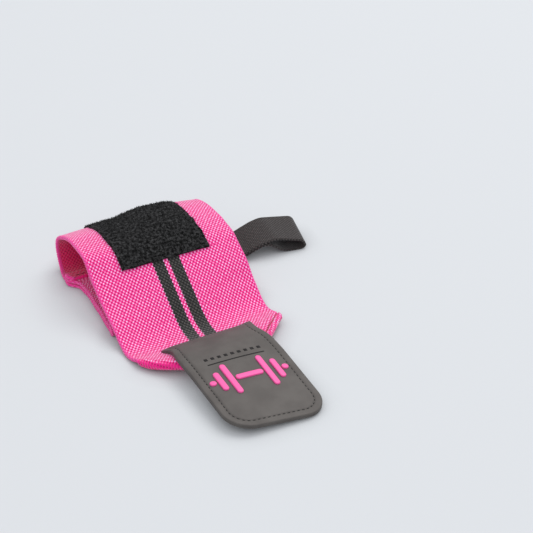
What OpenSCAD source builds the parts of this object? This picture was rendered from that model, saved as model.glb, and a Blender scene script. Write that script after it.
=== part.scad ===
// Elastic wrist wrap, lying as a flattened loop with its closure tab open in front of it.
// X runs across the band, -Y points to the closure tab, +Z is up, and the band rests on Z = 0.
// Every cloth layer is laid on the line of the band's outer face, which is walked leg by leg.

/* [Elastic band] */
// Width of the elastic band
band_w = 80; // [70:1:90]
// Thickness of the elastic band
band_t = 1.8; // [1.6:0.1:1.9]
// Flat stretch of the band on the ground
ground_len = 62; // [58:1:68]
// Outer radius of the front fold, where the band turns back over itself
fold_r = 2.1; // [2.1:0.05:2.3]
// Length of the loose inner end that lies back over the ground layer
inner_len = 54; // [52:1:60]
// Width of the hem sewn along the loose end
hem_w = 5; // [4:0.5:5.5]

/* [Closure] */
// Width of the moulded rubber tab
tab_w = 48.5; // [44:0.5:50]
// Thickness of the rubber tab
tab_t = 2.4; // [2:0.1:2.6]
// Corner radius of the rubber tab
tab_corner_r = 12; // [8:0.5:14]
// Bare band between the tab's bending line and the tab's rear edge
tab_setback = 3.6; // [3.2:0.1:4.2]
// Length of the mitred band end under the tab, beyond the full-width stretch
mitre_len = 20; // [16:1:22]
// Width of the brushed pile patch
pile_w = 48; // [40:1:52]
// Length of the brushed pile patch
pile_len = 58; // [50:1:60]
// Thickness of the brushed pile patch
pile_t = 1.4; // [1.2:0.1:2.2]
// Thickness of the hook patch under the tab
hook_t = 1.3; // [1:0.1:1.3]

/* [Thumb loop] */
// Width of the thumb loop webbing
web_w = 20; // [15:0.5:20]
// Thickness of the thumb loop webbing
web_t = 1.3; // [1.1:0.05:1.3]
// Length of the webbing that is sewn down on the band
web_sewn = 24; // [18:1:28]

/* [Sewing and badge] */
// Length of one visible stitch
stitch_len = 1.9; // [1.4:0.1:2.2]
// Distance from one stitch to the next
stitch_pitch = 2.8; // [2.4:0.1:3.4]
// Thickness of the sewing thread
thread = 0.5; // [0.4:0.05:0.7]
// Width of the raised strokes of the badge
stroke = 3; // [2.4:0.1:3.4]
// Height of the raised strokes above the tab
stroke_h = 0.8; // [0.5:0.1:1.2]

/* [Hidden] */

pink = "hotpink";
black = [0.13, 0.13, 0.13];
rubber_grey = [0.36, 0.33, 0.32];
facet_len = 1.5;        // longest facet along a bend
round_fn = 48;

full_width_len = 5;     // full-width band in front of the tab's bending line
hem_lap = 0.05;         // the hem's two layers bite into each other by this much
plate_x = [9.2, 14.4];  // inner and outer badge plates, from the middle
plate_len = [20, 12.5];
handle_gap = 0.8;       // between the badge's handle and its plates
badge_from_tip = 31;    // middle of the badge, from the tab's tip
rule_from_tip = 43.3;
dash_from_tip = 47;
rule_len = 29;
dash_count = 9;
border = 3.4;           // stitch line to the tab's edge
pile_border = 1.6;      // stitch line to the pile patch's edge
web_y = 14.8;           // middle of the webbing, along the band

// ---- Lines: a leg is [length, turn in degrees], and a station is [distance, y, z, heading] ----
function arc(r, turn) = [r * abs(turn) * PI / 180, turn];
function step_count(leg) = max(1, ceil(leg[0] / (leg[1] == 0 ? 1000 : facet_len)));
function steps(legs) = [for (leg = legs) for (k = [1:step_count(leg)]) leg / step_count(leg)];
function chord(step) = step[1] == 0 ? step[0] : step[0] * sin(step[1] / 2) / (step[1] / 2 * PI / 180);
function advance(p, step) = [p[0] + step[0],
                             p[1] + chord(step) * cos(p[3] + step[1] / 2),
                             p[2] + chord(step) * sin(p[3] + step[1] / 2),
                             p[3] + step[1]];
function trace(steps, start) =
    [for (i = 0, p = start; i <= len(steps); p = i < len(steps) ? advance(p, steps[i]) : p, i = i + 1) p];
function walk(legs, start) = trace(steps(legs), start);
function last(line) = line[len(line) - 1];
function total(line) = last(line)[0];
function restart(line) = [0, last(line)[1], last(line)[2], last(line)[3]];

// A point at distance s along a line and height o outside it
function outside(p, o) = [p[1] + o * sin(p[3]), p[2] - o * cos(p[3])];
function leg_at(line, s) = max([for (i = [0:len(line) - 2]) if (line[i][0] <= s || i == 0) i]);
function point(line, s, o) =
    let (i = leg_at(line, s), a = line[i], b = line[i + 1], t = (s - a[0]) / (b[0] - a[0]))
    outside(a, o) * (1 - t) + outside(b, o) * t;
function heading(line, s) =
    let (i = leg_at(line, s), d = outside(line[i + 1], 0) - outside(line[i], 0)) atan2(d[1], d[0]);
function edge(line, s0, s1, o) =
    concat([point(line, s0, o)],
           [for (p = line) if (p[0] > s0 + 0.01 && p[0] < s1 - 0.01) outside(p, o)],
           [point(line, s1, o)]);
function reversed(list) = [for (i = [len(list) - 1:-1:0]) list[i]];

fold_y = -24;
fold_top = 2 * fold_r;

// Loose inner end: starts at its hem and runs forwards over the ground layer
inner_line = walk([[inner_len, 0]], [0, fold_y + inner_len, fold_top, 180]);
// Front fold, ground layer and the lower half of the back turn
ground_line = walk([arc(fold_r, 180), [ground_len, 0], arc(10, 65), arc(22, 25)], restart(inner_line));
// Upper half of the back turn, crest, slope, and run-out to the tab
top_line = walk([arc(12, 68), arc(58, 22), arc(60, 16), arc(30, 18), [32.4, 0], arc(24, -33), arc(40, -6)],
                restart(ground_line));
// The tab rises off the ground, arches over and comes down again
tab_line = walk([arc(20, -13), arc(75, 26), [38, 0]], restart(top_line));

tab_end = total(tab_line);
top_end = total(top_line);
pile_s0 = 6;            // pile patch, from the back bending line
pile_s1 = pile_s0 + pile_len;

// ---- Laying cloth and stitches on a line ----
// A layer between distances s0 and s1, heights o0 and o1, and x0 and x1 across
module layer(line, s0, s1, o0, o1, x0, x1)
    rotate([90, 0, 90]) translate([0, 0, x0]) linear_extrude(height = x1 - x0)
        polygon(concat(edge(line, s0, s1, o0), reversed(edge(line, s0, s1, o1))));

module band_layer(line, s0, s1) layer(line, s0, s1, -band_t, 0, -band_w / 2, band_w / 2);

// Puts its children at distance s and height o: their Y runs back along the line and Z points outwards
module on_line(line, s, o = 0, x = 0)
    translate([x, point(line, s, o)[0], point(line, s, o)[1]])
        rotate([heading(line, s) + 180, 0, 0]) children();

module stitch_along() cube([thread, stitch_len, thread], center = true);
module stitch_across() cube([stitch_len, thread, thread], center = true);

module stitches_along(line, s0, s1, o, x) {
    count = floor((s1 - s0) / stitch_pitch);
    for (k = [0:count]) on_line(line, s0 + (s1 - s0) * k / count, o, x) stitch_along();
}

module stitches_across(line, s, o, x0, x1) {
    count = floor((x1 - x0) / stitch_pitch);
    for (k = [0:count]) on_line(line, s, o, x0 + (x1 - x0) * k / count) stitch_across();
}

// A prism seen from above, to trim a layer in plan: children are drawn in X and Y
module plan_trim() linear_extrude(height = 40) children();

// ---- Elastic band ----
module band_ground_layer() color(pink) band_layer(ground_line, 0, total(ground_line));

// The loose end, with its hem turned over on top and a rounded fold at the end
module band_inner_end() color(pink) {
    band_layer(inner_line, 0, inner_len);
    layer(inner_line, 0, hem_w, -hem_lap, band_t - hem_lap, -band_w / 2, band_w / 2);
    translate([0, fold_y + inner_len, fold_top - hem_lap / 2]) rotate([0, 90, 0])
        intersection() {
            cylinder(r = band_t - hem_lap / 2, h = band_w, center = true, $fn = round_fn);
            translate([0, band_t / 2, 0]) cube([4 * band_t, band_t, band_w], center = true);
        }
}

module hem_stitches() color(black)
    stitches_across(inner_line, hem_w - 1.6, band_t - hem_lap, -band_w / 2 + 3, band_w / 2 - 3);

module band_top_layer() color(pink) band_layer(top_line, 0, top_end);

// Plan of the mitred band end: full width, then both corners cut back at 45 degrees
tip_y = last(top_line)[1];
module mitre_plan() polygon([[-band_w / 2, tip_y + 2], [band_w / 2, tip_y + 2],
    [band_w / 2, tip_y - full_width_len], [band_w / 2 - mitre_len, tip_y - full_width_len - mitre_len],
    [mitre_len - band_w / 2, tip_y - full_width_len - mitre_len], [-band_w / 2, tip_y - full_width_len]]);

module band_tip() color(pink) intersection() {
    band_layer(tab_line, 0, full_width_len + mitre_len + 1);
    plan_trim() mitre_plan();
}

// A corner of the band, folded under along its 45 degree line
module corner_fold(side) color(pink) intersection() {
    layer(tab_line, 0, full_width_len + mitre_len + 1, -2 * band_t, -band_t, -band_w / 2, band_w / 2);
    plan_trim() polygon([[side * band_w / 2, tip_y - full_width_len],
        [side * (band_w / 2 - mitre_len), tip_y - full_width_len],
        [side * (band_w / 2 - mitre_len), tip_y - full_width_len - mitre_len]]);
}

module left_corner_fold() corner_fold(-1);
module right_corner_fold() corner_fold(1);

module corner_fold_stitches() color(black) for (side = [-1, 1])
    stitches_along(tab_line, full_width_len + 5, full_width_len + 13, -2 * band_t,
                   side * (band_w / 2 - mitre_len + 2));

// ---- Pile patch ----
module pile_patch() color(black) layer(top_line, pile_s0, pile_s1, 0, pile_t, -pile_w / 2, pile_w / 2);

module pile_patch_stitches() color(black) {
    for (side = [-1, 1])
        stitches_along(top_line, pile_s0 + 3, pile_s1 - 3, pile_t, side * (pile_w / 2 - pile_border));
    for (s = [pile_s0 + pile_border, pile_s1 - pile_border])
        stitches_across(top_line, s, pile_t, -pile_w / 2 + 3, pile_w / 2 - 3);
}

// ---- Closure tab ----
tab_rear_y = point(tab_line, tab_setback, 0)[0];
tab_plan_len = tab_rear_y - last(tab_line)[1];

// Plans of the tab are drawn from the middle of its rear edge towards -Y
module tab_plan_trim() plan_trim() translate([0, tab_rear_y]) children();
module plan_block(x, y0, y1) translate([-x, -y1]) square([2 * x, y1 - y0]);
function plan_y(s) = tab_rear_y - point(tab_line, s, 0)[0];

module closure_tab() color(rubber_grey) intersection() {
    layer(tab_line, tab_setback - 1.5, tab_end + 1.5, 0, tab_t, -band_w / 2, band_w / 2);
    tab_plan_trim() union() {
        plan_block(tab_w / 2, 0, tab_plan_len - tab_corner_r);
        plan_block(tab_w / 2 - tab_corner_r, 0, tab_plan_len);
        for (side = [-1, 1])
            translate([side * (tab_w / 2 - tab_corner_r), tab_corner_r - tab_plan_len])
                circle(r = tab_corner_r, $fn = round_fn);
    }
}

module hook_patch() color(black) intersection() {
    layer(tab_line, full_width_len + mitre_len + 2, tab_end, -hook_t, 0, -band_w / 2, band_w / 2);
    tab_plan_trim() plan_block(tab_w / 2 - 4, 0, tab_plan_len - 6);
}

// Puts its children on the tab's upper face, at a distance and a place across the tab
module on_tab(s, x) on_line(tab_line, s, tab_t, x) children();

module tab_border_stitches() color(black) {
    corner_s = tab_end - tab_corner_r;
    row_start = tab_setback + 2;
    count = floor((corner_s - 1 - row_start) / stitch_pitch);
    for (side = [-1, 1]) {
        for (k = [0:count])
            on_tab(row_start + (corner_s - 1 - row_start) * k / count, side * (tab_w / 2 - border)) stitch_along();
        for (turn = [15, 45, 75])
            on_tab(corner_s, side * (tab_w / 2 - tab_corner_r)) rotate(side > 0 ? -turn : 180 + turn)
                translate([tab_corner_r - border, 0, 0]) stitch_along();
    }
    front_x = tab_w / 2 - tab_corner_r - 1;
    stitches_across(tab_line, tab_end - border, tab_t, -front_x, front_x);
}

// Row that joins the tab to the band, seen on the band's underside
module tab_seam_stitches() color(black)
    stitches_across(tab_line, tab_setback + 5, -band_t, -tab_w / 2 + border + 2, tab_w / 2 - border - 2);

// A raised stroke with round ends, seen from above: children of plan_trim
module round_bar(length, across) union() {
    square(across ? [length - stroke, stroke] : [stroke, length - stroke], center = true);
    for (end = [-1, 1])
        translate(end * (length - stroke) / 2 * (across ? [1, 0] : [0, 1])) circle(d = stroke, $fn = round_fn);
}

module raised(x, length, across) intersection() {
    s = tab_end - badge_from_tip;
    layer(tab_line, s - 15, s + 15, tab_t, tab_t + stroke_h, -band_w / 2, band_w / 2);
    tab_plan_trim() translate([x, -plan_y(s)]) round_bar(length, across);
}

// A thin raised mark on the tab
module raised_mark(s, x, length, across) intersection() {
    layer(tab_line, s - 4, s + 4, tab_t, tab_t + 0.3, -band_w / 2, band_w / 2);
    tab_plan_trim() translate([x, -plan_y(s)]) square([length, across], center = true);
}

// Plain dumbbell mark: a handle between the inner plates, and its two ends outside the outer plates
module badge_bar() color(pink) {
    raised(0, 2 * (plate_x[0] - stroke / 2 - handle_gap), true);
    for (side = [-1, 1]) raised(side * (plate_x[1] + stroke + handle_gap), 1.1 * stroke, true);
}
module badge_inner_plates() color(pink) for (side = [-1, 1]) raised(side * plate_x[0], plate_len[0], false);
module badge_outer_plates() color(pink) for (side = [-1, 1]) raised(side * plate_x[1], plate_len[1], false);

// Thin raised rule and a row of dashes behind it
module tab_rule() color(black) raised_mark(tab_end - rule_from_tip, 0, rule_len, 0.8);
module tab_dashes() color(black) for (k = [0:dash_count - 1])
    raised_mark(tab_end - dash_from_tip, (k / (dash_count - 1) - 0.5) * (rule_len - 2), 1.8, 1.2);

// ---- Thumb loop: its line runs in X and Z, top ply outwards, round the tip and back underneath ----
web_hinge_x = band_w / 2 + 2;
web_top = fold_top + 2 * web_t;
web_start = [0, web_hinge_x, web_top, 0];
web_bends = [[18, 0], arc(22, 18), arc(40, -26), arc(4.7, -174), [4, 0], arc(24, -22), arc(22, 24)];
web_line = walk(concat(web_bends, [[last(walk(web_bends, web_start))[1] - web_hinge_x, 0]]), web_start);

module web_layer(line, s0, s1) translate([0, web_y + web_w / 2, 0]) rotate([90, 0, 0])
    linear_extrude(height = web_w)
        polygon(concat(edge(line, s0, s1, 0), reversed(edge(line, s0, s1, web_t))));

// Both ends of the webbing, one on the other, sewn down on the loose end of the band
module thumb_loop_root() color(black) for (ply = [0, 1])
    translate([web_hinge_x - web_sewn, web_y - web_w / 2, fold_top + ply * web_t])
        cube([web_sewn - 0.02, web_w, web_t - 0.02]);

module thumb_loop() color(black) web_layer(web_line, 0, total(web_line));

// Two dense rows of thread across the sewn webbing
module loop_bartacks() color(black) for (x = [web_hinge_x - web_sewn + 4, web_hinge_x - 6])
    for (k = [-7:7])
        translate([x, web_y + k * web_w / 17, web_top]) rotate([0, 0, k % 2 == 0 ? 25 : -25])
            cube([2.4, thread, thread], center = true);

band_ground_layer();
band_inner_end();
hem_stitches();
thumb_loop_root();
loop_bartacks();
thumb_loop();
band_top_layer();
pile_patch();
pile_patch_stitches();
band_tip();
left_corner_fold();
right_corner_fold();
corner_fold_stitches();
closure_tab();
hook_patch();
tab_border_stitches();
tab_seam_stitches();
badge_bar();
badge_inner_plates();
badge_outer_plates();
tab_rule();
tab_dashes();
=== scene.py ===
"""An elastic wrist wrap: a pink woven band with a rubber closure tab, a pile patch and a thumb loop."""
import math
import random

import bmesh
import bpy
from mathutils import Matrix, Vector, noise


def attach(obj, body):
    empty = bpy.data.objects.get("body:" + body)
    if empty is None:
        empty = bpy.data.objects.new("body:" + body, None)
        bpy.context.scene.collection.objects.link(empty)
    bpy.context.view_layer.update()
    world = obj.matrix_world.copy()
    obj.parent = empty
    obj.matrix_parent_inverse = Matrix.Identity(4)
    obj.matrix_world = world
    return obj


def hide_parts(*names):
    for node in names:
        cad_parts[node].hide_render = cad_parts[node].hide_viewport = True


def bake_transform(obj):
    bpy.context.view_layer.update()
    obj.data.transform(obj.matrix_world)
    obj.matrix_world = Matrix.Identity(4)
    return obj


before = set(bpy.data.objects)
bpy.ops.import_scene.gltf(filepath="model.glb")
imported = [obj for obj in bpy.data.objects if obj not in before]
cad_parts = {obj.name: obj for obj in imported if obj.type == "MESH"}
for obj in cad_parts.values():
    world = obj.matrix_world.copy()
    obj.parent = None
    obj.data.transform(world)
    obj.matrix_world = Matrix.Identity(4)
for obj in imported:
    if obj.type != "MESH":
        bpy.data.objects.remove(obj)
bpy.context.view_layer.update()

# ---- Studio: camera, soft lights and a pale floor --------------------------------------------
# The camera looks down on the wrap from its front left. A broad softbox hangs above it to the
# right, so that the contact shadow falls to the left, and a pale sky fills the rest. The floor
# glows a little by itself, as a lit paper backdrop does, and its glow is dimmed where something
# almost touches it, which is a painted contact shadow.
scene = bpy.context.scene
CAMERA_AZIMUTH = math.radians(-28.4)
CAMERA_ELEVATION = math.radians(32.6)
CAMERA_DISTANCE = 0.6
CAMERA_TARGET = Vector((0.023, -0.070, 0.0475))
LIGHT_TARGET = Vector((0, -0.04, 0))
CONTACT_SHADOW_REACH = 0.012
towards_camera = Vector((math.sin(CAMERA_AZIMUTH) * math.cos(CAMERA_ELEVATION),
                         -math.cos(CAMERA_AZIMUTH) * math.cos(CAMERA_ELEVATION),
                         math.sin(CAMERA_ELEVATION)))
camera = bpy.data.objects.new("camera", bpy.data.cameras.new("camera"))
camera.data.sensor_width = 36
camera.data.lens = 86.84
camera.location = CAMERA_TARGET + CAMERA_DISTANCE * towards_camera
camera.rotation_euler = (-towards_camera).to_track_quat("-Z", "Y").to_euler()
scene.collection.objects.link(camera)
scene.camera = camera
scene.view_settings.view_transform = "Standard"


def softbox(name, position, size, power, tint):
    """A square area light that points at the middle of the wrap."""
    light = bpy.data.lights.new(name, "AREA")
    light.size, light.energy, light.color = size, power, tint
    lamp = bpy.data.objects.new(name, light)
    lamp.location = position
    lamp.rotation_euler = (LIGHT_TARGET - lamp.location).to_track_quat("-Z", "Y").to_euler()
    scene.collection.objects.link(lamp)


softbox("key_light", Vector((1.1, 0.5, 2.1)), 1.5, 36.0, (1.0, 0.99, 0.97))
softbox("front_light", Vector((-0.9, -1.9, 1.7)), 2.0, 14.0, (0.98, 0.99, 1.0))

sky = bpy.data.worlds.new("sky")
sky.use_nodes = True
sky.node_tree.nodes["Background"].inputs["Color"].default_value = (0.93, 0.95, 1.0, 1)
sky.node_tree.nodes["Background"].inputs["Strength"].default_value = 0.62
scene.world = sky

floor_material = bpy.data.materials.new("floor")
floor_material.use_nodes = True
floor_shader = floor_material.node_tree.nodes["Principled BSDF"]
floor_shader.inputs["Base Color"].default_value = (0.33, 0.344, 0.354, 1)
floor_shader.inputs["Emission Color"].default_value = (0.372, 0.380, 0.398, 1)
# Ambient occlusion dims the floor's glow close to the wrap: a painted contact shadow.
painted_contact_shadow = floor_material.node_tree.nodes.new("ShaderNodeAmbientOcclusion")
painted_contact_shadow.samples = 8
painted_contact_shadow.inputs["Distance"].default_value = CONTACT_SHADOW_REACH
glow_with_painted_shadow = floor_material.node_tree.nodes.new("ShaderNodeMath")
glow_with_painted_shadow.operation = "POWER"
glow_with_painted_shadow.inputs[1].default_value = 1.3
floor_material.node_tree.links.new(painted_contact_shadow.outputs["AO"], glow_with_painted_shadow.inputs[0])
floor_material.node_tree.links.new(glow_with_painted_shadow.outputs[0], floor_shader.inputs["Emission Strength"])
floor_shader.inputs["Roughness"].default_value = 0.9
floor_shader.inputs["Specular IOR Level"].default_value = 0.1
floor_bm = bmesh.new()
bmesh.ops.create_grid(floor_bm, x_segments=1, y_segments=1, size=6)
floor_mesh = bpy.data.meshes.new("floor")
floor_bm.to_mesh(floor_mesh)
floor = bpy.data.objects.new("floor", floor_mesh)
floor.data.materials.append(floor_material)
scene.collection.objects.link(floor)

# ---- The elastic band -------------------------------------------------------------------------
# One woven strip, 80 mm wide, of pink yarn with two black stripes. Its inner end is hemmed, its
# outer end has both corners folded under, and it lies as a flattened loop. It is made flat, as
# width x, length s and height o over its outer face, and then laid on the line that it follows.
MM = 0.001
BAND_WIDTH = 80 * MM
BAND_THICKNESS = 1.8 * MM
INNER_LENGTH = 54 * MM
GROUND_LENGTH = 62 * MM
FOLD_RADIUS = 2.1 * MM
FOLD_Y = -24 * MM
GROUND_GAP = 0.2 * MM       # under the straight stretch of the ground layer
LOWEST = 0.05 * MM          # nothing lies lower than this
MITRE_START = 5 * MM
MITRE_LENGTH = 20 * MM


def arc(radius_mm, turn):
    """A bend of a line: its length, and its turn in degrees."""
    return (radius_mm * MM * math.radians(abs(turn)), turn)


def walk(legs, start):
    """The legs of a line with the distance, place and heading at which each one starts."""
    distance, a, b, heading = start
    stations = []
    for length, turn in legs:
        stations.append((distance, a, b, heading, length, turn))
        a, b, heading = along_leg(stations[-1], length)
        distance += length
    return stations


def along_leg(leg, run):
    """The place and heading at a distance along one leg."""
    _, a, b, heading, length, turn = leg
    bend = turn * run / length
    half = math.radians(bend / 2)
    chord = run * (math.sin(half) / half if abs(half) > 1e-9 else 1.0)
    direction = math.radians(heading) + half
    return a + chord * math.cos(direction), b + chord * math.sin(direction), heading + bend


def on_line(line, distance, height):
    """A point of the plane, at a distance along a line and a height outside it."""
    leg = line[0]
    for candidate in line:
        if candidate[0] <= distance:
            leg = candidate
    a, b, heading = along_leg(leg, distance - leg[0])
    turn = math.radians(heading)
    return a + height * math.sin(turn), b - height * math.cos(turn)


def line_end(line):
    return line[-1][0] + line[-1][4]


INNER_LEGS = [(INNER_LENGTH, 0)]
GROUND_LEGS = [arc(FOLD_RADIUS / MM, 180), (GROUND_LENGTH, 0), arc(10, 65), arc(22, 25)]
TOP_LEGS = [arc(12, 68), arc(58, 22), arc(60, 16), arc(30, 18), (32.4 * MM, 0), arc(24, -33),
            arc(40, -6)]
TAB_LEGS = [arc(20, -13), arc(75, 26), (38 * MM, 0)]
HEM_WIDTH = 5 * MM
HEM_LEGS = [(HEM_WIDTH, 0), arc(0.1, -180)]
HEM_START = -sum(leg[0] for leg in HEM_LEGS)
band_line = walk(HEM_LEGS + INNER_LEGS + GROUND_LEGS + TOP_LEGS + TAB_LEGS,
                 (HEM_START, FOLD_Y + INNER_LENGTH - HEM_WIDTH, 2 * FOLD_RADIUS + GROUND_GAP, 0))
BACK_BEND = sum(leg[0] for leg in INNER_LEGS + GROUND_LEGS)
TAB_BEND = BACK_BEND + sum(leg[0] for leg in TOP_LEGS)
TAB_END = line_end(band_line)
BAND_END = TAB_BEND + MITRE_START + MITRE_LENGTH
BAND_CUT = BACK_BEND + 68 * MM   # on the straight slope, where its two modelled halves meet

MITRE_S = TAB_BEND + MITRE_START   # where the fold lines leave the rims

# How far each rim of the band stands above the middle: distance past the back bend, and height
LEFT_RIM = [(-8, 0), (10, -1.0), (36, 0.6), (49, 0.6), (62, -3.0), (76, -2.2), (95, 0.9), (108, 0.2),
            (119, 1.3), (140, 0)]
RIGHT_RIM = [(-8, 0), (12, -2.6), (37, -2.6), (49, -1.6), (62, 0.4), (76, 1.3), (88, -0.8), (101, -1.6),
             (118, 2.6), (140, 0.8)]


# How far the left half of the crest sags, at each distance past the back bend
CREST_SAG = [(-5, 0), (13, -2.3), (34, -1.4), (54, 0)]
SAG_NONE, SAG_FULL = 6 * MM, -9 * MM
STIFF_SHARE = 0.25          # of the half width, which the rims don't bend

# How far the lower layers' left rim wanders to the right, at each place along Y
LOWER_RIM = [(-30, 0), (-19, 1.3), (-3, 2.4), (12, 3.2), (21, 2.6), (28.5, -2.1), (34, -1.6), (48, 0)]

# The tab's arch across, a swelling of the cloth beside its left edge, and its lift and twist
ARCH_HEIGHT, ARCH_HALF = 1.6 * MM, 26 * MM
SWELLING = 1.3 * MM
SWELLING_X, SWELLING_S = -20 * MM, TAB_BEND + 20 * MM
FRONT_LIFT, FRONT_TWIST = 1.2 * MM, 0.058


def share_between(value, none, full):
    """How far a value has gone from one bound, 0, to the other, 1."""
    return min(1.0, max(0.0, (value - none) / (full - none)))


def eased(points, distance):
    """The height at a distance, in metres, along points given in millimetres, with soft turns."""
    run = distance / MM
    if run <= points[0][0] or run >= points[-1][0]:
        return 0.0
    for (d0, h0), (d1, h1) in zip(points, points[1:]):
        if run <= d1:
            t = (run - d0) / (d1 - d0)
            return (h0 + (h1 - h0) * t * t * (3 - 2 * t)) * MM
    return 0.0


def bump(distance, reach):
    """1 at no distance, and fading to 0 past the reach on either side."""
    return math.exp(-(distance / reach) ** 2)


def droop(x, s):
    """The cloth's rims hang or rise beside its stiffer middle, and the crest sags on its left."""
    across = abs(x) / (BAND_WIDTH / 2)
    rim = LEFT_RIM if x < 0 else RIGHT_RIM
    sag = eased(CREST_SAG, s - BACK_BEND) * share_between(x, SAG_NONE, SAG_FULL)
    return eased(rim, s - BACK_BEND) * max(0.0, (across - STIFF_SHARE) / (1 - STIFF_SHARE)) ** 1.5 + sag


def crown(x, s):
    """The tab and what is sewn to it arch a little across, and lift towards the left front corner."""
    run = min(1.0, (s - TAB_BEND) / (TAB_END - TAB_BEND))
    if run <= 0:
        return 0.0
    arch = ARCH_HEIGHT * math.sin(math.pi * run ** 0.6) * max(0.0, 1 - (x / ARCH_HALF) ** 2)
    swelling = SWELLING * bump(s - SWELLING_S, 10 * MM) * bump(x - SWELLING_X, 9 * MM)
    return arch + swelling + run * run * (3 - 2 * run) * (FRONT_LIFT - FRONT_TWIST * x)


def lay(x, s, o):
    """The place of a point of the flat wrap."""
    y, z = on_line(band_line, s, o + droop(x, s) + crown(x, s))
    if x < 0 and s < BACK_BEND:
        x += eased(LOWER_RIM, y) * (-x / (BAND_WIDTH / 2)) ** 3
    return Vector((x, y, max(z, LOWEST)))


RIGHT_RADIUS = 0.95 * MM              # of the middle of the cloth, where the corner is folded under
LEFT_RADII = (0.45 * MM, 1.45 * MM)   # the left fold swells from its corner towards the tab
SWELL_LENGTH = 9 * MM
LEFT_ROUNDING = 9 * MM
ROUNDING_FADE = 6 * MM
ROUNDING_TURN = math.radians(22.5)
CREASE_IN = 3.6 * MM                  # from the right fold line back to the crease beside it
CREASE_SIZE = 0.9 * MM                # its depth, and half its width


def fold_corners(x, s, o):
    """Folds whatever lies outside the two 45 degree lines of the band's end under the rest."""
    side = 1 if x > 0 else -1
    radius = RIGHT_RADIUS
    if x < 0:
        along_fold = (x + BAND_WIDTH / 2 + s - MITRE_S) / math.sqrt(2)
        swell = share_between(along_fold, 0.0, SWELL_LENGTH)
        radius = LEFT_RADII[0] + (LEFT_RADII[1] - LEFT_RADII[0]) * swell * (2 - swell)
    outside = (side * x - BAND_WIDTH / 2 + s - MITRE_S) / math.sqrt(2) + radius
    if outside <= 0:
        crease = (outside - radius) * math.sqrt(2) + CREASE_IN
        return x, s, o - (CREASE_SIZE * bump(crease, CREASE_SIZE) if side > 0 else 0)
    height = o + BAND_THICKNESS / 2
    half_turn = math.pi * radius
    if outside < half_turn:
        angle = outside / radius
        moved = (radius + height) * math.sin(angle)
        height = (radius + height) * math.cos(angle) - radius
    else:
        moved = half_turn - outside
        height = -2 * radius - height
    shift = (moved - outside) / math.sqrt(2)
    return x + side * shift, s + shift, height - BAND_THICKNESS / 2


def round_left_corner(x, s, o):
    """Draws the left folded corner in, so that it is blunt in plan."""
    rim = x + BAND_WIDTH / 2
    mitre = (rim - (s - MITRE_S)) / math.sqrt(2)
    near = max(0.0, 1 - abs(rim - mitre) / LEFT_ROUNDING)
    inward = LEFT_ROUNDING / 4 * near ** 2 * math.exp(-max(0.0, min(rim, mitre)) / ROUNDING_FADE)
    return x + math.cos(ROUNDING_TURN) * inward, s - math.sin(ROUNDING_TURN) * inward, o


def flat_grid(x0, x1, s0, s1, step):
    """A bmesh grid over a rectangle of the flat wrap, with cells of about one step."""
    bm = bmesh.new()
    columns, rows = round((x1 - x0) / step), round((s1 - s0) / step)
    bmesh.ops.create_grid(bm, x_segments=columns, y_segments=rows, size=0.5)
    bmesh.ops.scale(bm, vec=(x1 - x0, s1 - s0, 1), verts=bm.verts)
    bmesh.ops.translate(bm, vec=((x0 + x1) / 2, (s0 + s1) / 2, 0), verts=bm.verts)
    return bm


def note_flat_place(bm, rim=None):
    """Keeps each point's flat place, in metres, as the UV map that weaves and ribs read. Where a
    rim is given, the yarns go on round the edge beyond it, and the inner face is noted a metre
    aside, so that the material can tell it from the outer one."""
    layer = bm.loops.layers.uv.verify()
    for face in bm.faces:
        inner = rim is not None and all(vertex.co.z < -0.9 * BAND_THICKNESS for vertex in face.verts)
        for loop in face.loops:
            x, s, o = loop.vert.co
            if rim is not None and abs(x) > rim:
                x += math.copysign(min(1.0, (abs(x) - rim) / MM) * abs(o), x)
            loop[layer].uv = (x + (1.0 if inner else 0.0), s)


def thicken(bm, bottom, top):
    """Makes a flat sheet a closed slab between two heights."""
    for vertex in bm.verts:
        vertex.co.z = top
    made = bmesh.ops.extrude_face_region(bm, geom=bm.faces[:])
    for item in made["geom"]:
        if isinstance(item, bmesh.types.BMVert):
            item.co.z = bottom
    bmesh.ops.recalc_face_normals(bm, faces=bm.faces)


def finish_piece(bm, name, material, place, smooth=True):
    """Lays the flat mesh with a function for its points, and makes it an object of one material."""
    for vertex in bm.verts:
        vertex.co = place(*vertex.co)
    bmesh.ops.recalc_face_normals(bm, faces=bm.faces)
    mesh = bpy.data.meshes.new(name)
    bm.to_mesh(mesh)
    bm.free()
    for polygon in mesh.polygons:
        polygon.use_smooth = smooth
    mesh.materials.append(material)
    piece = bpy.data.objects.new(name, mesh)
    scene.collection.objects.link(piece)
    return piece


def new_material(name, roughness, sheen=0.0, specular=0.5):
    material = bpy.data.materials.new(name)
    material.use_nodes = True
    shader = material.node_tree.nodes["Principled BSDF"]
    shader.inputs["Roughness"].default_value = roughness
    shader.inputs["Sheen Weight"].default_value = sheen
    shader.inputs["Specular IOR Level"].default_value = specular
    return material


def node(tree, kind, settings=None, **inputs):
    """A shader node with its settings, and with its inputs linked or set."""
    made = tree.nodes.new(kind)
    for key, value in (settings or {}).items():
        setattr(made, key, value)
    for key, value in inputs.items():
        socket = made.inputs[int(key[1:]) if key[0] == "_" else key.replace("_", " ")]
        if isinstance(value, bpy.types.NodeSocket):
            tree.links.new(value, socket)
        else:
            socket.default_value = value
    return made


def math_node(tree, operation, first, second=0.0):
    return node(tree, "ShaderNodeMath", {"operation": operation}, _0=first, _1=second).outputs[0]


def ramp(tree, value, low, high):
    """0 below low, 1 above high, with a soft change between them."""
    settings = {"interpolation_type": "SMOOTHSTEP"}
    return node(tree, "ShaderNodeMapRange", settings, Value=value, From_Min=low, From_Max=high).outputs[0]


def mixed(tree, factor, first, second):
    """A colour between two, where each is a socket or four numbers."""
    made = node(tree, "ShaderNodeMix", {"data_type": "RGBA"}, _0=factor, _6=first, _7=second)
    return made.outputs[2]


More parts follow.
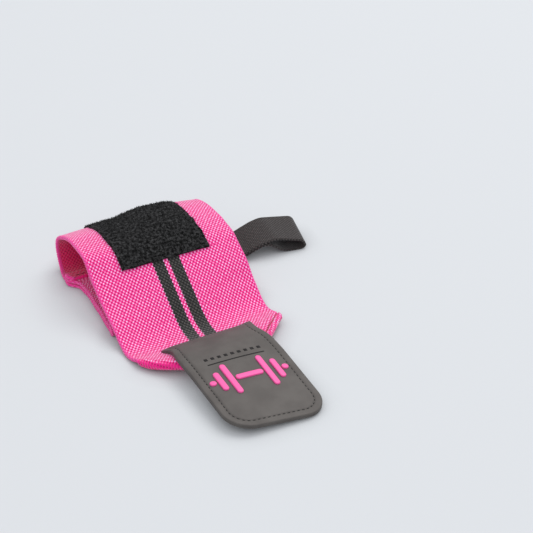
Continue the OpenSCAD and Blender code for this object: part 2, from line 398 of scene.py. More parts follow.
def new_group(name, inputs, outputs):
    """A node group with number inputs and outputs, its input node and its output node."""
    tree = bpy.data.node_groups.new(name, "ShaderNodeTree")
    for socket, kind in inputs:
        tree.interface.new_socket(socket, in_out="INPUT", socket_type=kind)
    for socket, kind in outputs:
        tree.interface.new_socket(socket, in_out="OUTPUT", socket_type=kind)
    return tree, tree.nodes.new("NodeGroupInput"), tree.nodes.new("NodeGroupOutput")


# A weave whose yarn floats lie in staggered rows: flecks stand out, and gaps lie between them
weave_group, weave_in, weave_out = new_group(
    "staggered_weave",
    [("UV", "NodeSocketVector"), ("Width Pitch", "NodeSocketFloat"), ("Length Pitch", "NodeSocketFloat"),
     ("Unevenness", "NodeSocketFloat")],
    [("Fleck", "NodeSocketFloat"), ("Gap", "NodeSocketFloat"), ("Height", "NodeSocketFloat"),
     ("Tone", "NodeSocketFloat")])
wobble = node(weave_group, "ShaderNodeTexNoise", Vector=weave_in.outputs["UV"], Scale=420.0, Detail=2.0)
wobble_mm = node(weave_group, "ShaderNodeVectorMath", {"operation": "SUBTRACT"}, _0=wobble.outputs["Color"],
                 _1=(0.5, 0.5, 0.5))
wobble_scaled = node(weave_group, "ShaderNodeVectorMath", {"operation": "SCALE"}, _0=wobble_mm.outputs[0],
                     Scale=weave_in.outputs["Unevenness"])
uneven = node(weave_group, "ShaderNodeVectorMath", {"operation": "ADD"}, _0=weave_in.outputs["UV"],
              _1=wobble_scaled.outputs[0])
flat_place = node(weave_group, "ShaderNodeSeparateXYZ", Vector=uneven.outputs[0])
waves = []
for axis, pitch in (("X", "Width Pitch"), ("Y", "Length Pitch")):
    turns = math_node(weave_group, "DIVIDE", flat_place.outputs[axis], weave_in.outputs[pitch])
    waves.append(math_node(weave_group, "COSINE", math_node(weave_group, "MULTIPLY", turns, math.tau)))
lattice = math_node(weave_group, "MULTIPLY", waves[0], waves[1])
fleck = ramp(weave_group, lattice, 0.02, 0.62)
gap = ramp(weave_group, math_node(weave_group, "MULTIPLY", lattice, -1.0), 0.45, 0.95)
tone = node(weave_group, "ShaderNodeTexNoise", Vector=weave_in.outputs["UV"], Scale=640.0, Detail=1.0)
height = math_node(weave_group, "SUBTRACT", fleck, math_node(weave_group, "MULTIPLY", gap, 0.7))
for socket, value in (("Fleck", fleck), ("Gap", gap), ("Height", height), ("Tone", tone.outputs[0])):
    weave_group.links.new(value, weave_out.inputs[socket])

WIDTH_PITCH, LENGTH_PITCH = 1.95 * MM, 2.45 * MM
# The pale fleck colours are partly a painted highlight on the yarn floats, and the gap colours are painted
# shade between the yarns.
PINK = (1.0, 0.010, 0.27, 1)
PALE_PINK_AND_HIGHLIGHT = (1.0, 0.58, 0.93, 1)
GAP_SHADE_PINK = (0.30, 0.0, 0.055, 1)
RIM_PINK = (1.0, 0.05, 0.38, 1)
# The inner face's darker, redder pink is painted shade inside the roll.
INNER_SHADE_PINK = (0.80, 0.004, 0.12, 1)
# The crease pinks are painted shade in the crease beside the right fold.
CREASE_SHADE_PINK = (0.5, 0.0, 0.06, 1)
CREASE_GAP_SHADE = (0.03, 0.0, 0.008, 1)
STRIPE_BLACK = (0.006, 0.006, 0.005, 1)
STRIPE_FLECK_AND_HIGHLIGHT = (0.068, 0.063, 0.056, 1)
STRIPE_GAP_SHADE = (0.003, 0.003, 0.003, 1)
STRIPE_MIDDLE = -0.8 * MM
STRIPE_INNER = 1.2 * MM
STRIPE_OUTER = 7.3 * MM

elastic = new_material("elastic_weave", roughness=0.78, sheen=0.45, specular=0.2)
tree = elastic.node_tree
flat = node(tree, "ShaderNodeUVMap").outputs[0]
weave = node(tree, "ShaderNodeGroup", {"node_tree": weave_group}, UV=flat, Width_Pitch=WIDTH_PITCH,
             Length_Pitch=LENGTH_PITCH, Unevenness=0.5 * MM)

# The inner face, which was noted a metre aside, and the place across the band
flat_parts = node(tree, "ShaderNodeSeparateXYZ", Vector=flat)
inner_face = math_node(tree, "GREATER_THAN", flat_parts.outputs[0], 0.5)
flat_x = math_node(tree, "SUBTRACT", flat_parts.outputs[0], inner_face)
side_x = math_node(tree, "ABSOLUTE", flat_x)

# The folds, stretched until their pale yarns part, and the crease beside the right one, which is painted
# dark as shade
past_mitre = math_node(tree, "ADD", side_x, flat_parts.outputs[1])
mitre = BAND_WIDTH / 2 + MITRE_S
folded = ramp(tree, past_mitre, mitre - 1.6 * MM, mitre - 0.2 * MM)
hem_fold = math_node(tree, "LESS_THAN", flat_parts.outputs[1], 0.8 * MM)
folded = math_node(tree, "MAXIMUM", folded, hem_fold)
left_fold = math_node(tree, "MULTIPLY", folded, math_node(tree, "LESS_THAN", flat_x, 0.0))
crease_middle = mitre - CREASE_IN
crease = math_node(tree, "MULTIPLY", ramp(tree, past_mitre, crease_middle - 1.1 * MM, crease_middle),
                   ramp(tree, past_mitre, crease_middle + 1.3 * MM, crease_middle + 0.5 * MM))
crease = math_node(tree, "MULTIPLY", crease, math_node(tree, "GREATER_THAN", flat_x, 0.0))

# The two stripes, whose borders follow the yarns
from_middle = math_node(tree, "ABSOLUTE", math_node(tree, "SUBTRACT", flat_x, STRIPE_MIDDLE))
yarn_reach = math_node(tree, "MULTIPLY", weave.outputs["Fleck"], 0.45 * MM)
inner_side = math_node(tree, "SUBTRACT", from_middle, yarn_reach)
outer_side = math_node(tree, "ADD", from_middle, yarn_reach)
stripe = math_node(tree, "MULTIPLY", ramp(tree, inner_side, STRIPE_INNER - 0.2 * MM, STRIPE_INNER),
                   ramp(tree, outer_side, STRIPE_OUTER + 0.3 * MM, STRIPE_OUTER + 0.1 * MM))

# The yarns: pale flecks, partly pale yarn and partly painted highlight on the floats, fewer on the
# inner face and none on the left fold, and dark gaps between them, which are painted shade
plain = math_node(tree, "MAXIMUM", math_node(tree, "MULTIPLY", inner_face, 0.9), left_fold)
open_weave = math_node(tree, "SUBTRACT", 1.0, plain)
fleck_and_highlight_share = math_node(tree, "MULTIPLY", ramp(tree, weave.outputs["Tone"], 0.1, 0.65), open_weave)
uneven_fleck_and_highlight = math_node(tree, "MULTIPLY", weave.outputs["Fleck"], fleck_and_highlight_share)
# The inner face is painted darker, with fewer flecks, as shade inside the roll.
pink_with_inner_shade = mixed(tree, inner_face, PINK, INNER_SHADE_PINK)
flecked_highlit_pink = mixed(tree, uneven_fleck_and_highlight, pink_with_inner_shade, PALE_PINK_AND_HIGHLIGHT)
# The gaps between the yarns are darkened: painted shade.
pink_with_painted_shade = mixed(tree, weave.outputs["Gap"], flecked_highlit_pink, GAP_SHADE_PINK)
# Painted shade in the crease beside the right fold.
painted_crease_shade = mixed(tree, weave.outputs["Gap"], CREASE_SHADE_PINK, CREASE_GAP_SHADE)
pink_with_painted_shade = mixed(tree, crease, pink_with_painted_shade, painted_crease_shade)
rim = ramp(tree, side_x, BAND_WIDTH / 2 - 1.3 * MM, BAND_WIDTH / 2 - 0.5 * MM)
pink_cloth = mixed(tree, math_node(tree, "MULTIPLY", rim, 0.75), pink_with_painted_shade, RIM_PINK)
# The black stripes get the same painted highlight on their flecks and painted shade in their gaps.
flecked_highlit_black = mixed(tree, uneven_fleck_and_highlight, STRIPE_BLACK, STRIPE_FLECK_AND_HIGHLIGHT)
black_with_gap_shade = mixed(tree, weave.outputs["Gap"], flecked_highlit_black, STRIPE_GAP_SHADE)
cloth_colour = mixed(tree, stripe, pink_cloth, black_with_gap_shade)
cloth_bump = node(tree, "ShaderNodeBump", Height=weave.outputs["Height"], Strength=0.9, Distance=0.25 * MM)
shader = tree.nodes["Principled BSDF"]
tree.links.new(cloth_colour, shader.inputs["Base Color"])
tree.links.new(cloth_bump.outputs[0], shader.inputs["Normal"])


SHARP_ANGLE = 1.2           # in radians, between the faces on both sides of an edge


def sharp_edges(bm):
    return [edge for edge in bm.edges
            if len(edge.link_faces) == 2 and edge.calc_face_angle(0) > SHARP_ANGLE]


def soften_rims(bm, width, radius):
    """Rounds the sharp long edges of a flat slab of this width."""
    rim = width / 2 - 0.01 * MM
    along_rim = [edge for edge in sharp_edges(bm) if all(abs(vertex.co.x) > rim for vertex in edge.verts)]
    bmesh.ops.bevel(bm, geom=along_rim, offset=radius, segments=3, profile=0.5, affect="EDGES",
                    material=-1)


SELVEDGE_PITCH = 1.35 * MM
SELVEDGE_IN = 0.75 * MM     # from the band's edge to the middle of the selvedge
SELVEDGE_HALF_WIDTH = 0.95 * MM
SELVEDGE_HALF_HEIGHT = 0.98 * MM
RIB_RELIEF = 0.13


def add_selvedge(bm, side, s0, s1):
    """The band's edge yarns, which loop round its rim in small ribs."""
    rows = round(5 * (s1 - s0) / SELVEDGE_PITCH)
    made = bmesh.ops.create_grid(bm, x_segments=10, y_segments=rows, size=0.5)
    for vertex in made["verts"]:
        s = s0 + (vertex.co.y + 0.5) * (s1 - s0)
        angle = math.tau * (vertex.co.x + 0.5)
        bulge = 1 + RIB_RELIEF * math.cos(math.tau * s / SELVEDGE_PITCH)
        x = side * (BAND_WIDTH / 2 - SELVEDGE_IN) + SELVEDGE_HALF_WIDTH * bulge * math.sin(angle)
        o = -BAND_THICKNESS / 2 + SELVEDGE_HALF_HEIGHT * bulge * math.cos(angle)
        vertex.co = (x, s, o)
    bmesh.ops.remove_doubles(bm, verts=made["verts"], dist=0.001 * MM)


def cut_across(bm, axis, distances):
    """Adds rows of points to a flat piece, at distances along one axis."""
    normal = Vector((0, 0, 0))
    normal[axis] = 1
    for distance in distances:
        bmesh.ops.bisect_plane(bm, geom=bm.verts[:] + bm.edges[:] + bm.faces[:], dist=0.001 * MM,
                               plane_co=distance * normal, plane_no=normal)


def sharpen_ends(piece):
    """Keeps the shading of a sharp edge from spreading over the faces beside it."""
    bm = bmesh.new()
    bm.from_mesh(piece.data)
    for edge in sharp_edges(bm):
        edge.smooth = False
    bm.to_mesh(piece.data)
    bm.free()


def band_piece(name, s0, s1, place):
    """A length of the band: a closed slab of cloth with a selvedge along each side."""
    bm = flat_grid(-BAND_WIDTH / 2, BAND_WIDTH / 2, s0, s1, 1 * MM)
    thicken(bm, -BAND_THICKNESS, 0)
    soften_rims(bm, BAND_WIDTH, 0.7 * MM)
    for side in (-1, 1):
        add_selvedge(bm, side, s0, s1)
    bmesh.ops.holes_fill(bm, edges=[edge for edge in bm.edges if edge.is_boundary])
    if s0 < 0:
        hem_fold = HEM_LEGS[1][0]
        cut_across(bm, 1, [-hem_fold * k / 10 for k in range(11)])
    note_flat_place(bm, rim=BAND_WIDTH / 2 - 1.6 * MM)
    piece = finish_piece(bm, name, elastic, place)
    sharpen_ends(piece)
    return piece


# The back half: the hem and inner end, the front fold, the ground layer, the back turn and the crest
band_back = band_piece("band_back", HEM_START, BAND_CUT, lay)
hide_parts("band_ground_layer", "band_inner_end")
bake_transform(band_back)


def lay_front(x, s, o):
    """The place of a point of the flat front half, whose corners are folded."""
    return lay(*round_left_corner(*fold_corners(x, s, o)))


# The front half: the slope and the end with its folded corners
band_front = band_piece("band_front", BAND_CUT, BAND_END, lay_front)
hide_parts("band_top_layer", "band_tip", "left_corner_fold", "right_corner_fold")
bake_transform(band_front)

# ---- Sewing thread ----------------------------------------------------------------------------
# Every seam is black thread: a row of short raised stitches, half sunk into what they hold. A row
# is made flat, like the cloth, and then laid with it.
draw = random.Random(11)
STITCH_LENGTH = 1.9 * MM
STITCH_WIDTH = 0.5 * MM
STITCH_PITCH = 2.7 * MM
thread = new_material("sewing_thread", roughness=0.7, sheen=0.2, specular=0.3)
thread.node_tree.nodes["Principled BSDF"].inputs["Base Color"].default_value = (0.010, 0.010, 0.010, 1)


def add_stitch(bm, x, s, o, angle, length=STITCH_LENGTH):
    """One stitch, which may lie a little off its row's direction."""
    angle += draw.uniform(-0.07, 0.07)
    place = (Matrix.Translation((x, s, o)) @ Matrix.Rotation(angle, 4, "Z")
             @ Matrix.Diagonal((length, STITCH_WIDTH, STITCH_WIDTH, 1)))
    bmesh.ops.create_uvsphere(bm, u_segments=8, v_segments=6, radius=0.5, matrix=place)


def add_stitches_along(bm, points, o, pitch=STITCH_PITCH, length=STITCH_LENGTH):
    """Even stitches along a chain of flat points."""
    spans = [(Vector(a), Vector(b)) for a, b in zip(points, points[1:])]
    total = sum((b - a).length for a, b in spans)
    count = max(1, round(total / pitch))
    for k in range(count):
        left = (k + 0.5) / count * total
        for a, b in spans:
            if left <= (b - a).length:
                break
            left -= (b - a).length
        middle = a + (b - a).normalized() * left
        add_stitch(bm, middle.x, middle.y, o, math.atan2(b.y - a.y, b.x - a.x), length)


def stitch_rows(name, rows, place, body, **options):
    """One piece made of several rows of stitches: each row is its points and its height."""
    bm = bmesh.new()
    for points, o in rows:
        add_stitches_along(bm, points, o, **options)
    piece = finish_piece(bm, "sewn_" + name, thread, place)
    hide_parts(name)
    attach(piece, body)
    return piece


def seam_across(s, half_length):
    """A row across the band on its inner face."""
    return [(-half_length, s), (half_length, s)], -BAND_THICKNESS


def fold_seam(side):
    """A row on the folded layer, near its inner edge."""
    x = side * (BAND_WIDTH / 2 - MITRE_LENGTH + 2 * MM)
    return [(x, MITRE_S + 4 * MM), (x, MITRE_S + 14 * MM)], -2 * BAND_THICKNESS - 0.1 * MM


stitch_rows("hem_stitches", [seam_across(HEM_START + 1.6 * MM, 37 * MM)], lay, "wrap")
stitch_rows("corner_fold_stitches", [fold_seam(-1), fold_seam(1)], lay, "tab")

# ---- The pile patch ---------------------------------------------------------------------------
# A black patch of brushed loops on the crest, which the tab's hooks grip. It buckles a little
# between its stitches, its cut edges wander, and short crooked fibres stand all over it.
PILE_START = BACK_BEND + 6 * MM
PILE_END = BACK_BEND + 64 * MM
PILE_MIDDLE = (PILE_START + PILE_END) / 2
PILE_HALF = 24 * MM
PILE_BORDER = 1.6 * MM
PILE_BACKING = 1.0 * MM
BUCKLE = 0.45 * MM
GROOVE = 0.45 * MM
TUFT = 0.22 * MM
FIBRE_COUNT = 5600

pile = new_material("brushed_pile", roughness=0.95, sheen=0.06, specular=0.06)
tree = pile.node_tree
flat = node(tree, "ShaderNodeUVMap").outputs[0]
clumps = node(tree, "ShaderNodeTexNoise", Vector=flat, Scale=620.0, Detail=3.0, Roughness=0.7)
pile_colour = mixed(tree, ramp(tree, clumps.outputs[0], 0.40, 0.66), (0.004, 0.004, 0.004, 1),
                    (0.052, 0.052, 0.053, 1))
pile_bump = node(tree, "ShaderNodeBump", Height=clumps.outputs[0], Strength=1.0, Distance=0.7 * MM)
shader = tree.nodes["Principled BSDF"]
tree.links.new(pile_colour, shader.inputs["Base Color"])
tree.links.new(pile_bump.outputs[0], shader.inputs["Normal"])


def from_pile_edge(x, s):
    return min(PILE_HALF - abs(x), s - PILE_START, PILE_END - s)


def pile_surface(x, s):
    """How far the pile's upper side stands above its even thickness."""
    groove = GROOVE * bump(from_pile_edge(x, s) - PILE_BORDER, 0.6 * MM)
    buckle = BUCKLE * noise.noise(Vector((x / (11 * MM), s / (10 * MM), 4.0)))
    tufts = TUFT * noise.noise(Vector((x / (1.6 * MM), s / (1.6 * MM), 9.0)))
    return max(0.0, buckle) + tufts - groove


def lay_pile(x, s, o):
    """A point of the patch: heights are above the band, and the cut edges wander."""
    side_wander = 0.5 * MM * noise.noise(Vector((s / (5 * MM), math.copysign(3, x), 0)))
    end_wander = 0.4 * MM * noise.noise(Vector((x / (5 * MM), 7.0 if s > PILE_MIDDLE else 1.0, 0)))
    across = abs(x) / PILE_HALF
    along = abs(s - PILE_MIDDLE) / (PILE_END - PILE_MIDDLE)
    raised = o + pile_surface(x, s) * share_between(o, 0.0, PILE_BACKING)
    return lay(x + side_wander * across ** 6, s + end_wander * along ** 6, raised)


bm = flat_grid(-PILE_HALF, PILE_HALF, PILE_START, PILE_END, 0.75 * MM)
thicken(bm, 0.0, PILE_BACKING)
note_flat_place(bm)
pile_patch = finish_piece(bm, "pile_backing", pile, lay_pile)

bm = bmesh.new()
for _ in range(FIBRE_COUNT):
    x = draw.uniform(-PILE_HALF - 0.1 * MM, PILE_HALF + 0.1 * MM)
    s = draw.uniform(PILE_START - 0.1 * MM, PILE_END + 0.1 * MM)
    if abs(from_pile_edge(x, s) - PILE_BORDER) < 0.35 * MM:
        continue
    length = draw.uniform(0.5, 1.15) * MM
    heading = Matrix.Rotation(draw.uniform(0, math.tau), 4, "Z")
    lean = heading @ Matrix.Rotation(draw.uniform(0.3, 1.25), 4, "X")
    root = Matrix.Translation((x, s, PILE_BACKING - 0.08 * MM))
    bmesh.ops.create_cone(bm, cap_ends=True, segments=3, radius1=0.13 * MM, radius2=0.05 * MM, depth=length,
                          matrix=root @ lean @ Matrix.Translation((0, 0, length / 2)))
note_flat_place(bm)
pile_fibres = finish_piece(bm, "pile_fibres", pile, lay_pile, smooth=False)
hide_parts("pile_patch")
for piece in (pile_patch, pile_fibres):
    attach(piece, "flap")

pile_x = PILE_HALF - PILE_BORDER
pile_low, pile_high = PILE_START + PILE_BORDER, PILE_END - PILE_BORDER
pile_corners = [(-pile_x, pile_low), (pile_x, pile_low), (pile_x, pile_high), (-pile_x, pile_high),
                (-pile_x, pile_low)]
stitch_rows("pile_patch_stitches", [(pile_corners, PILE_BACKING + 0.02 * MM)], lay_pile, "flap")

# ---- The thumb loop ---------------------------------------------------------------------------
# One strap of charcoal webbing, folded on itself. Its two ends lie together on the band's inner
# end under two bar tacks, and the rest stands out past the band's edge as a twisted teardrop.
WEB_WIDTH = 20 * MM
WEB_THICKNESS = 1.26 * MM
WEB_Y = 14.8 * MM
WEB_SEWN = 24 * MM
WEB_HINGE_X = BAND_WIDTH / 2 + 2 * MM
WEB_TOP = 6.8 * MM
WEB_LEGS = [(WEB_SEWN, 0), (18 * MM, 0), arc(22, 18), arc(40, -26), arc(4.7, -174), (4 * MM, 0),
            arc(24, -22), arc(22, 24)]
web_start = (0.0, WEB_HINGE_X - WEB_SEWN, WEB_TOP, 0)
last_leg = walk(WEB_LEGS, web_start)[-1]
web_return = along_leg(last_leg, last_leg[4])[0] - web_start[1]
web_line = walk(WEB_LEGS + [(web_return, 0)], web_start)

# How far the strap's near and far edges stand above its line, at each place along X
NEAR_EDGE = [(36, 0), (42, 0), (51, -1.2), (57, 0.8), (62, 2.2), (68, 1.7), (75, -0.8), (82, -2.6),
             (90, -3.4), (100, -3.4)]
FAR_EDGE = [(36, 0), (42, 0), (52, 0.7), (58, 3.0), (63, 4.7), (68, 4.6), (74, 2.7), (80, 1.4),
            (86, 1.0), (92, 1.2), (100, 1.5)]
TIP_SWING = -3.4 * MM       # of the loop's tip, towards the front


def curved(points, distance):
    """The height at a distance, in metres, on a smooth curve through points given in millimetres."""
    run = distance / MM
    if run <= points[1][0]:
        return points[1][1] * MM
    for (d0, h0), (d1, h1), (d2, h2), (d3, h3) in zip(points, points[1:], points[2:], points[3:]):
        if run <= d2:
            t = (run - d1) / (d2 - d1)
            slope1 = (h2 - h0) / (d2 - d0) * (d2 - d1)
            slope2 = (h3 - h1) / (d3 - d1) * (d2 - d1)
            return MM * (h1 * (1 - t) ** 2 * (1 + 2 * t) + h2 * t * t * (3 - 2 * t)
                         + slope1 * t * (1 - t) ** 2 - slope2 * t * t * (1 - t))
    return points[-2][1] * MM


def lay_web(across, s, o):
    """The place of a point of the flat strap. Its lower ply lies flatter than its upper one, and
    its tip turns a little towards the front."""
    x, z = on_line(web_line, s, o)
    share = across / WEB_WIDTH + 0.5
    rise = (1 - share) * curved(NEAR_EDGE, x) + share * curved(FAR_EDGE, x)
    lower_ply = share_between(x, 60 * MM, 70 * MM) * (1 - share_between(z, 0.0, 6 * MM))
    reach = (3.0 * share - 2.3) * MM * share_between(x, 66 * MM, 88 * MM)
    swing = TIP_SWING * share_between(x, 50 * MM, 88 * MM) ** 1.5
    return Vector((x + reach, WEB_Y + across + swing, max(z + rise * (1 - lower_ply), LOWEST)))


webbing = new_material("ribbed_webbing", roughness=0.82, sheen=0.15, specular=0.25)
tree = webbing.node_tree
flat = node(tree, "ShaderNodeUVMap").outputs[0]
ribs = node(tree, "ShaderNodeGroup", {"node_tree": weave_group}, UV=flat, Width_Pitch=1.35 * MM,
            Length_Pitch=1.9 * MM, Unevenness=0.4 * MM)
# The ribs' lighter tops are partly yarn tone and partly a painted highlight, and the near-black gaps between
# them are painted shade.
rib_fleck_and_highlight = math_node(tree, "MULTIPLY", ribs.outputs["Fleck"], ramp(tree, ribs.outputs["Tone"], 0.1, 0.7))
web_yarn_and_highlight = mixed(tree, rib_fleck_and_highlight, (0.032, 0.027, 0.026, 1), (0.096, 0.083, 0.080, 1))
web_colour = mixed(tree, ribs.outputs["Gap"], web_yarn_and_highlight, (0.007, 0.006, 0.006, 1))
web_bump = node(tree, "ShaderNodeBump", Height=ribs.outputs["Height"], Strength=0.8, Distance=0.16 * MM)
shader = tree.nodes["Principled BSDF"]
tree.links.new(web_colour, shader.inputs["Base Color"])
tree.links.new(web_bump.outputs[0], shader.inputs["Normal"])

bm = flat_grid(-WEB_WIDTH / 2, WEB_WIDTH / 2, 0.0, line_end(web_line), 0.8 * MM)
thicken(bm, WEB_THICKNESS, 0.0)
soften_rims(bm, WEB_WIDTH, 0.45 * MM)
note_flat_place(bm)
strap = finish_piece(bm, "thumb_strap", webbing, lay_web)
sharpen_ends(strap)
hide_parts("thumb_loop", "thumb_loop_root")
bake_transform(strap)

TACK_PITCH = 1.05 * MM
TACK_SLANT = 22
bm = bmesh.new()
for tack_s in (4 * MM, WEB_SEWN - 6 * MM):
    for k in range(-8, 9):
        slant = math.radians(90 + (TACK_SLANT if k % 2 else -TACK_SLANT))
        add_stitch(bm, k * TACK_PITCH, tack_s, -0.05 * MM, slant, 2.6 * MM)
bartacks = finish_piece(bm, "sewn_loop_bartacks", thread, lay_web)
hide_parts("loop_bartacks")
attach(bartacks, "wrap")

# ---- The closure tab --------------------------------------------------------------------------
# A soft rubber tab, moulded in two layers, with a rounded rim and a sunk line of stitches along
# its sides and front. It is sewn on slightly askew. Its outline is lofted ring by ring.
TAB_WIDTH = 48.5 * MM
TAB_CORNER = 12 * MM
TAB_REAR = TAB_BEND + 3.6 * MM
TAB_TOP = 2.28 * MM
STITCH_INSET = 3.5 * MM
HOOK_START = TAB_BEND + 27 * MM
HOOK_END = TAB_END - 6 * MM
HOOK_HALF = 20.25 * MM
HOOK_RECESS = 0.5 * MM      # the hook patch is let into the tab's underside by this much
REAR_POINTS, SIDE_POINTS, CORNER_POINTS, FRONT_POINTS = 40, 44, 12, 18
REAR_THINNING = 0.62        # of the tab's full thickness, at its rear edge
CORNER_REACH = 4 * MM
RIGHT_CURL = 1.1 * MM       # of the rear right corner, upwards
WAIST = 0.065
TAB_SKEW = 0.098
TAB_SHIFT = (-1.05 * MM, 1.95 * MM)   # to the right, at the tab's rear and at its front


def lay_tab(x, s, o):
    """The place of a point of the flat tab, which flares and thins at its rear edge."""
    run = max(0.0, (s - TAB_BEND) / (TAB_END - TAB_BEND))
    thinning = REAR_THINNING + (1 - REAR_THINNING) * share_between(s, TAB_REAR, TAB_REAR + 7 * MM)
    corner = bump(abs(x) - TAB_WIDTH / 2, CORNER_REACH) * bump(s - TAB_REAR, CORNER_REACH)
    o = o * thinning * (1 - 0.4 * corner)
    if x > 0:
        o += RIGHT_CURL * corner
    x *= 1 - WAIST * bump(s - TAB_REAR - 9 * MM, 6 * MM)
    shift = TAB_SHIFT[0] + (TAB_SHIFT[1] - TAB_SHIFT[0]) * run
    return lay(x + shift, s + TAB_SKEW * x * run, o)


def lay_recessed_tab(x, s, o):
    """The same for the tab itself, whose underside is hollowed for the hook patch."""
    over_hooks = abs(x) < HOOK_HALF - 1 * MM and HOOK_START + 1 * MM < s < HOOK_END - 1 * MM
    return lay_tab(x, s, o + HOOK_RECESS if over_hooks and o < 0.05 * MM else o)


def between(start, end, count):
    """Points from one flat point up to, but without, another."""
    return [(start[0] + (end[0] - start[0]) * k / count, start[1] + (end[1] - start[1]) * k / count)
            for k in range(count)]


def round_corner(centre, radius, first_angle, last_angle, count):
    angles = [math.radians(first_angle + (last_angle - first_angle) * k / count) for k in range(count)]
    return [(centre[0] + radius * math.cos(angle), centre[1] + radius * math.sin(angle)) for angle in angles]


def tab_outline(inset):
    """The tab's outline from its rear left corner on, moved inwards; the rear edge hardly moves."""
    half, rear, front = TAB_WIDTH / 2 - inset, TAB_REAR + 0.12 * inset, TAB_END - inset
    radius = TAB_CORNER - inset
    side, turn = half - radius, front - radius
    return (between((-half, rear), (half, rear), REAR_POINTS)
            + between((half, rear), (half, turn), SIDE_POINTS)
            + round_corner((side, turn), radius, 0, 90, CORNER_POINTS)
            + between((side, front), (-side, front), FRONT_POINTS)
            + round_corner((-side, turn), radius, 90, 180, CORNER_POINTS)
            + between((-half, turn), (-half, rear), SIDE_POINTS))


def add_loft(bm, outline, profile):
    """A closed form of rings: outline gives a ring's points, and profile its inset and height in mm."""
    rings = []
    for inset, level in profile:
        rings.append([bm.verts.new((x, s, level * MM)) for x, s in outline(inset * MM)])
    for lower, upper in zip(rings, rings[1:]):
        for k in range(len(lower)):
            bm.faces.new((lower[k - 1], lower[k], upper[k], upper[k - 1]))
    bm.faces.new(rings[0])
    bm.faces.new(rings[-1])


def cut_grid(bm, step):
    """Cuts a flat form both ways, so that it can follow a bend."""
    for axis in (0, 1):
        low = min(vertex.co[axis] for vertex in bm.verts)
        high = max(vertex.co[axis] for vertex in bm.verts)
        cut_across(bm, axis, [low + k * step for k in range(1, math.ceil((high - low) / step))])


rubber = new_material("tab_rubber", roughness=0.62, specular=0.35)
tree = rubber.node_tree
grain_place = node(tree, "ShaderNodeTexCoord").outputs["Object"]
blotches = node(tree, "ShaderNodeTexNoise", Vector=grain_place, Scale=90.0, Detail=3.0)
grain = node(tree, "ShaderNodeTexNoise", Vector=grain_place, Scale=2600.0, Detail=2.0)
rubber_colour = mixed(tree, ramp(tree, blotches.outputs[0], 0.3, 0.7), (0.088, 0.078, 0.072, 1),
                      (0.112, 0.101, 0.093, 1))
rubber_bump = node(tree, "ShaderNodeBump", Height=grain.outputs[0], Strength=0.5, Distance=0.06 * MM)
shader = tree.nodes["Principled BSDF"]
tree.links.new(rubber_colour, shader.inputs["Base Color"])
tree.links.new(rubber_bump.outputs[0], shader.inputs["Normal"])

# From below: the lower layer, the groove between the layers, the rounded rim and the sunk channel
TAB_PROFILE = [(0.5, 0.0), (0.1, 0.12), (0.0, 0.3), (0.0, 0.92), (0.14, 1.0), (0.0, 1.08), (0.0, 1.95),
               (0.1, 2.2), (0.4, 2.38), (0.9, 2.42), (1.8, 2.34), (2.9, 2.26), (3.2, 2.08), (3.5, 1.95),
               (3.8, 2.08), (4.1, 2.26), (5.0, 2.28)]
bm = bmesh.new()
add_loft(bm, tab_outline, TAB_PROFILE)
cut_grid(bm, 1.8 * MM)
closure_tab = finish_piece(bm, "rubber_tab", rubber, lay_recessed_tab)
sharpen_ends(closure_tab)
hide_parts("closure_tab")
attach(closure_tab, "tab")

border = tab_outline(STITCH_INSET)[REAR_POINTS + 1:] + [(-TAB_WIDTH / 2 + STITCH_INSET, TAB_REAR + 1 * MM)]
stitch_rows("tab_border_stitches", [(border, TAB_TOP - 0.3 * MM)], lay_tab, "tab",
            pitch=2.4 * MM, length=1.6 * MM)
stitch_rows("tab_seam_stitches", [seam_across(TAB_REAR + 5 * MM, 19 * MM)], lay, "tab")

# ---- The hook patch ---------------------------------------------------------------------------
# Black moulded hooks under the front of the tab: a thin backing with rows of small bent hooks.
HOOK_PITCH = 1.7 * MM
HOOK_MARGIN = 1.5 * MM
HOOK_HEIGHT = 1.4 * MM
# The length, tilt in radians, reach and level of both parts of a hook, in mm
HOOK_STEM = (0.55, 0.25, 0.0, -0.92)
HOOK_BARB = (0.4, 1.35, 0.22, -1.16)
hook_nylon = new_material("hook_nylon", roughness=0.5, specular=0.4)
hook_nylon.node_tree.nodes["Principled BSDF"].inputs["Base Color"].default_value = (0.016, 0.016, 0.017, 1)


def hook_outline(inset):
    half, rear, front = HOOK_HALF - inset, HOOK_START + inset, HOOK_END - inset
    return (between((-half, rear), (half, rear), 2) + between((half, rear), (half, front), 2)
            + between((half, front), (-half, front), 2) + between((-half, front), (-half, rear), 2))


def lay_hooks(x, s, o):
    """The place of a point of the flat hook patch, pressed flatter where the tab lies low."""
    room = lay_tab(x, s, HOOK_RECESS).z - 0.1 * MM
    return lay_tab(x, s, HOOK_RECESS + o * (min(1.0, room / HOOK_HEIGHT) if o < 0 else 1.0))


bm = bmesh.new()
add_loft(bm, hook_outline, [(0.2, -0.7), (0.0, -0.6), (0.0, 0.05), (0.1, 0.1)])
cut_grid(bm, 2 * MM)
hooks_across = int(2 * (HOOK_HALF - HOOK_MARGIN) / HOOK_PITCH)
hooks_along = int((HOOK_END - HOOK_START - 2 * HOOK_MARGIN) / HOOK_PITCH)
for row in range(hooks_along + 1):
    for column in range(hooks_across + 1):
        x = (column - hooks_across / 2) * HOOK_PITCH
        s = (HOOK_START + HOOK_END) / 2 + (row - hooks_along / 2) * HOOK_PITCH
        facing = 1 if row % 2 else -1
        for size, tilt, reach, level in (HOOK_STEM, HOOK_BARB):
            place = (Matrix.Translation((x, s + facing * reach * MM, level * MM))
                     @ Matrix.Rotation(facing * tilt, 4, "X"))
            bmesh.ops.create_cone(bm, cap_ends=True, segments=5, radius1=0.13 * MM, radius2=0.10 * MM,
                                  depth=size * MM, matrix=place)
hook_patch = finish_piece(bm, "nylon_hooks", hook_nylon, lay_hooks, smooth=False)
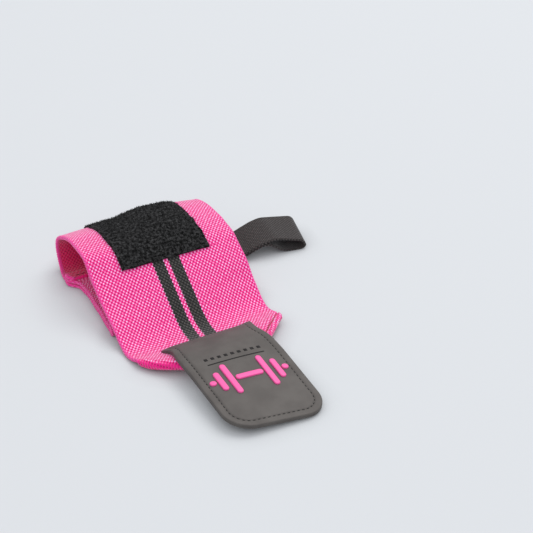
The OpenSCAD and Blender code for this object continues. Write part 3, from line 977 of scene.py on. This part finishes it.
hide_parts("hook_patch")
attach(hook_patch, "tab")

# ---- The badge and the marks behind it --------------------------------------------------------
# A plain dumbbell of raised pink rubber strokes. Behind it lie a thin dark rule and a row of dark
# dashes, pressed almost flush into the tab.
BADGE_S = TAB_END - 31 * MM
RULE_S = TAB_END - 43.3 * MM
DASH_S = TAB_END - 47 * MM
STROKE = 3 * MM
PLATES = [(9.2 * MM, 20 * MM), (14.4 * MM, 12.5 * MM)]
HANDLE_GAP = 0.8 * MM
RULE_LENGTH, RULE_WIDTH = 29 * MM, 0.7 * MM
DASH_PITCH, DASH_SIZE = 3.4 * MM, 1.7 * MM
STROKE_PROFILE = [(0.0, 1.9), (0.0, 2.75), (0.12, 2.98), (0.35, 3.1), (0.8, 3.14)]
MARK_PROFILE = [(0.0, 2.0), (0.0, 2.32), (0.05, 2.36)]

badge_rubber = new_material("badge_rubber", roughness=0.5, specular=0.4)
badge_rubber.node_tree.nodes["Principled BSDF"].inputs["Base Color"].default_value = (0.98, 0.115, 0.40, 1)
mark_rubber = new_material("mark_rubber", roughness=0.7, specular=0.25)
mark_rubber.node_tree.nodes["Principled BSDF"].inputs["Base Color"].default_value = (0.014, 0.013, 0.013, 1)


def stroke_outline(x, s, length, across):
    """A stroke with round ends, along or across the tab, as an outline that can be moved inwards."""
    def outline(inset):
        radius, reach = STROKE / 2 - inset, (length - STROKE) / 2
        if across:
            return (round_corner((x + reach, s), radius, -90, 90, 10)
                    + round_corner((x - reach, s), radius, 90, 270, 10))
        return (round_corner((x, s + reach), radius, 0, 180, 10)
                + round_corner((x, s - reach), radius, 180, 360, 10))
    return outline


def block_outline(x, s, width, length):
    """A rectangle, as an outline that can be moved inwards."""
    def outline(inset):
        half_width, half_length = width / 2 - inset, length / 2 - inset
        return [(x - half_width, s - half_length), (x + half_width, s - half_length),
                (x + half_width, s + half_length), (x - half_width, s + half_length)]
    return outline


def raised_piece(name, outlines, profile, material):
    """Forms of one outline each, moulded on the tab."""
    bm = bmesh.new()
    for outline in outlines:
        add_loft(bm, outline, profile)
    cut_grid(bm, 2 * MM)
    piece = finish_piece(bm, "moulded_" + name, material, lay_tab)
    sharpen_ends(piece)
    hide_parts(name)
    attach(piece, "tab")


handle = 2 * (PLATES[0][0] - STROKE / 2 - HANDLE_GAP)
end_x = PLATES[1][0] + STROKE + HANDLE_GAP
raised_piece("badge_bar", [stroke_outline(0, BADGE_S, handle, True)]
             + [stroke_outline(side * end_x, BADGE_S, 1.1 * STROKE, True) for side in (-1, 1)],
             STROKE_PROFILE, badge_rubber)
for name, (plate_x, plate_length) in zip(("badge_inner_plates", "badge_outer_plates"), PLATES):
    raised_piece(name, [stroke_outline(side * plate_x, BADGE_S, plate_length, False) for side in (-1, 1)],
                 STROKE_PROFILE, badge_rubber)
raised_piece("tab_rule", [block_outline(0, RULE_S, RULE_LENGTH, RULE_WIDTH)], MARK_PROFILE, mark_rubber)
raised_piece("tab_dashes",
             [block_outline(k * DASH_PITCH, DASH_S, DASH_SIZE, DASH_SIZE) for k in range(-4, 5)],
             MARK_PROFILE, mark_rubber)
